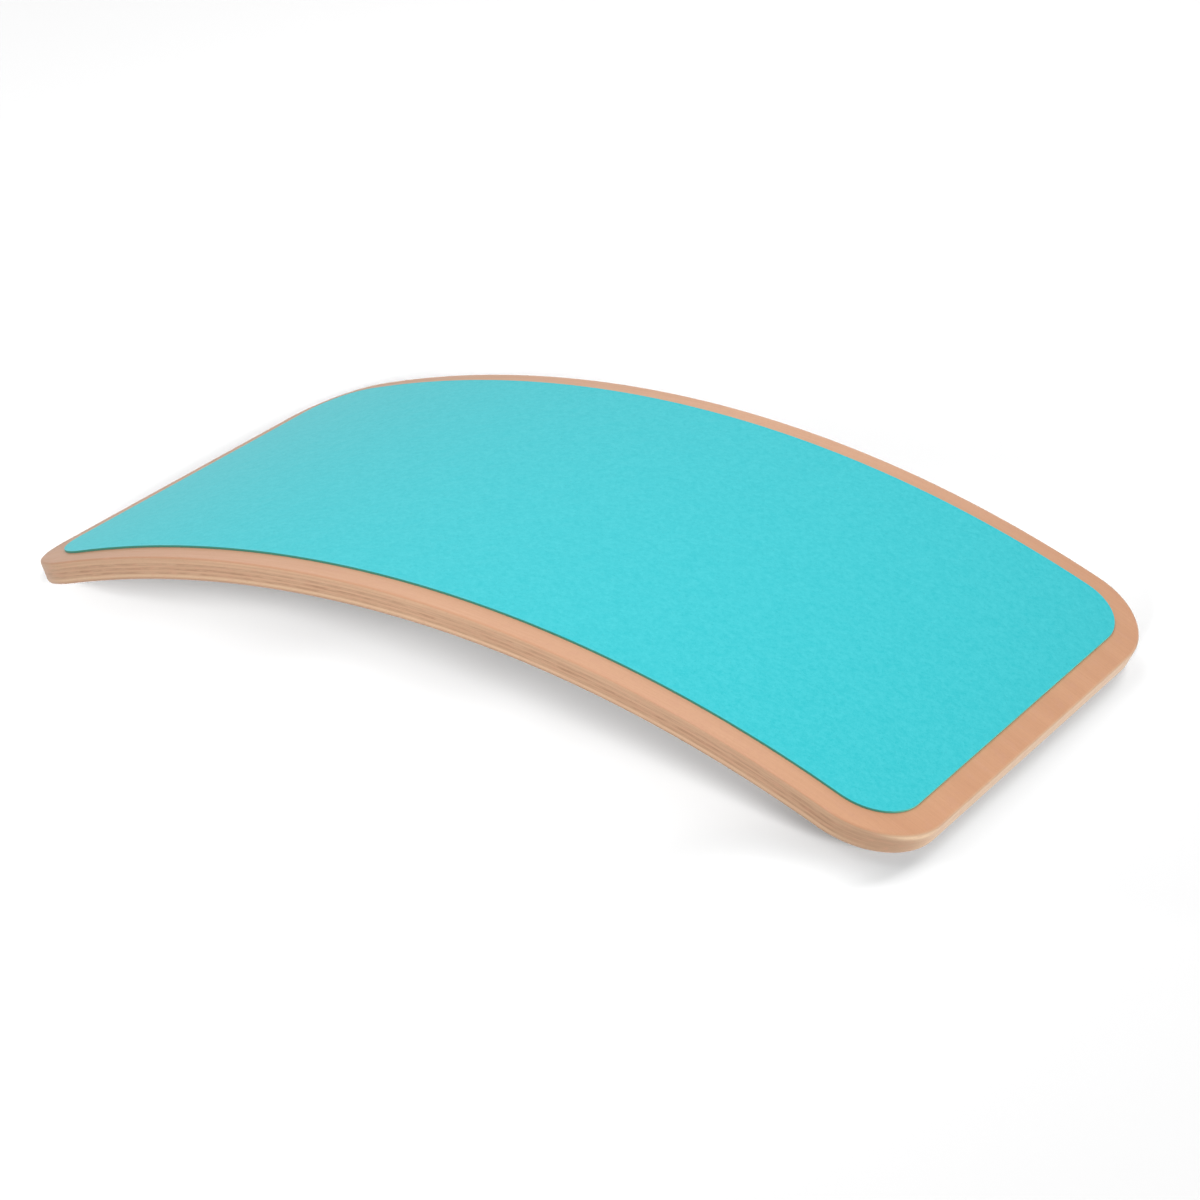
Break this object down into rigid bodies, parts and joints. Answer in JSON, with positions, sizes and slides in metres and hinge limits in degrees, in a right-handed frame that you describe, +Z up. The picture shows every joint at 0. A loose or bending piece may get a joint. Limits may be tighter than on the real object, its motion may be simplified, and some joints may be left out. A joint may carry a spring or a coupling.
{
  "type": "balance board",
  "caption": "Arched moulded-plywood rocking board, shown as a bridge, with rounded corners and a felt cover glued to its convex face; a child stands, rocks or climbs on it.",
  "frame": {"origin": "floor level under the middle of the arch, midway between the long edges", "axes": "+X along the board, +Y across it, +Z up, with the convex face up"},
  "size_m": [0.6696, 0.35, 0.0876],
  "materials": {
    "felt": "turquoise needled felt, matt and finely mottled",
    "adhesive": "pale film",
    "face_veneer": "beech veneer, satin clear lacquer",
    "long_ply": "beech long grain, sanded and lacquered edge",
    "core_ply": "beech long grain, sanded and lacquered edge",
    "cross_ply": "beech end grain, sanded and lacquered edge"
  },
  "bodies": {
    "root": {"felt_cover": "felt", "felt_adhesive": "adhesive", "top_face_veneer": "face_veneer", "upper_long_ply_outer": "long_ply", "upper_long_ply_inner": "long_ply", "upper_cross_ply": "cross_ply", "upper_core_ply": "core_ply", "middle_cross_ply": "cross_ply", "lower_core_ply": "core_ply", "lower_cross_ply": "cross_ply", "lower_long_ply_inner": "long_ply", "lower_long_ply_outer": "long_ply", "bottom_face_veneer": "face_veneer"}
  },
  "joints": []
}
